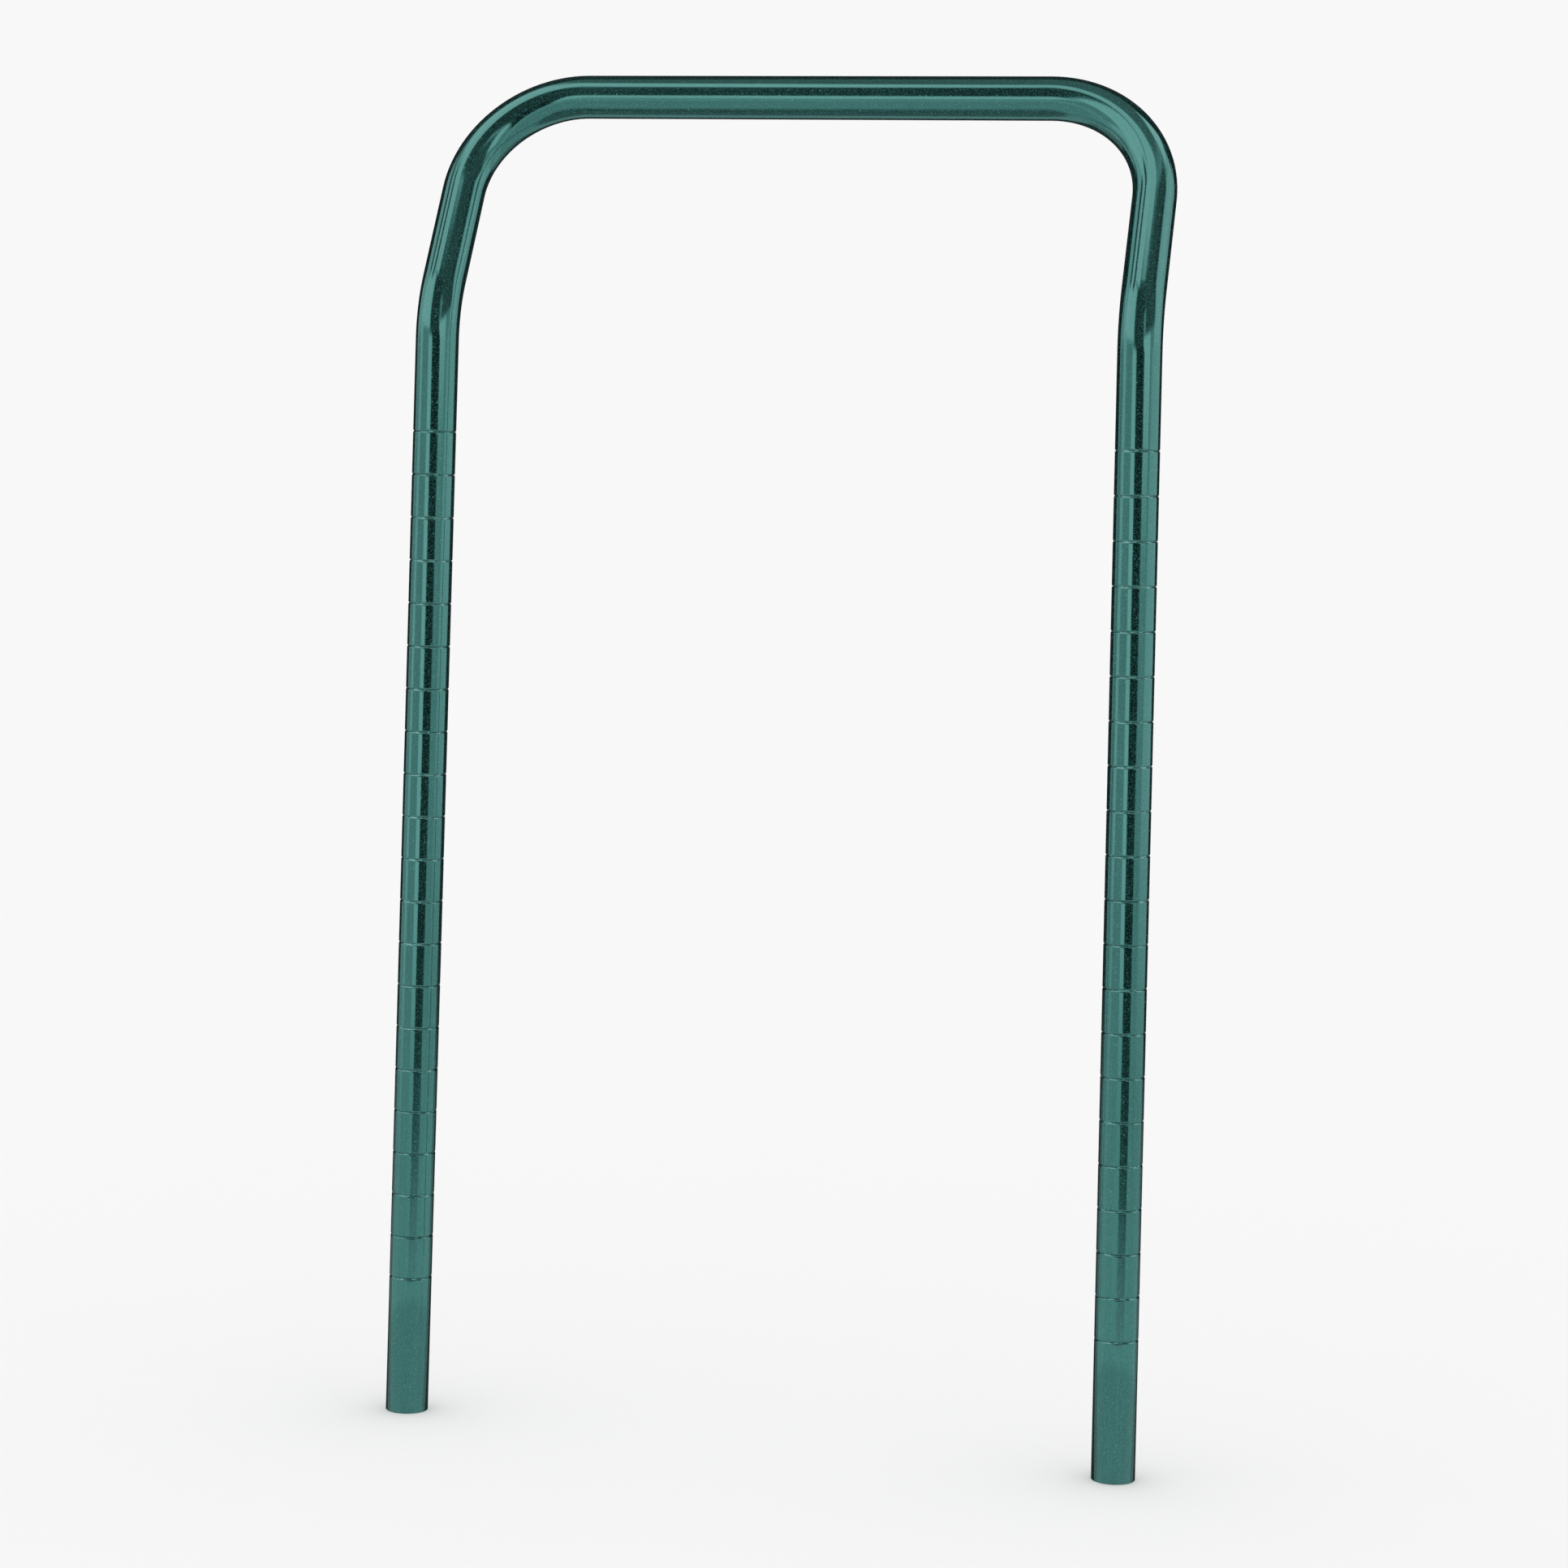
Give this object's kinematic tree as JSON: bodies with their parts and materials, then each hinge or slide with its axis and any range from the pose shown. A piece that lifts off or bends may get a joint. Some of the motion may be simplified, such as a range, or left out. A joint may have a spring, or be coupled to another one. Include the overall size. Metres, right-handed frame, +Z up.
{
  "type": "cart push handle and post pair",
  "caption": "U-shaped bent steel tube with grooved legs, the push handle and two posts of a wire-shelf utility cart, leaning back above the shelves.",
  "frame": {"origin": "midway between the two legs, at the height of their lower ends", "axes": "+Z up along the legs, +X along the grip, +Y the way the handle leans"},
  "size_m": [0.4594, 0.0937, 0.8048],
  "materials": {
    "coated_steel": "glossy translucent green coating over bright steel",
    "zinc_steel": "zinc plated, satin"
  },
  "bodies": {
    "root": {"handle_tube": "coated_steel", "left_stem_socket": "zinc_steel", "right_stem_socket": "zinc_steel"}
  },
  "joints": []
}
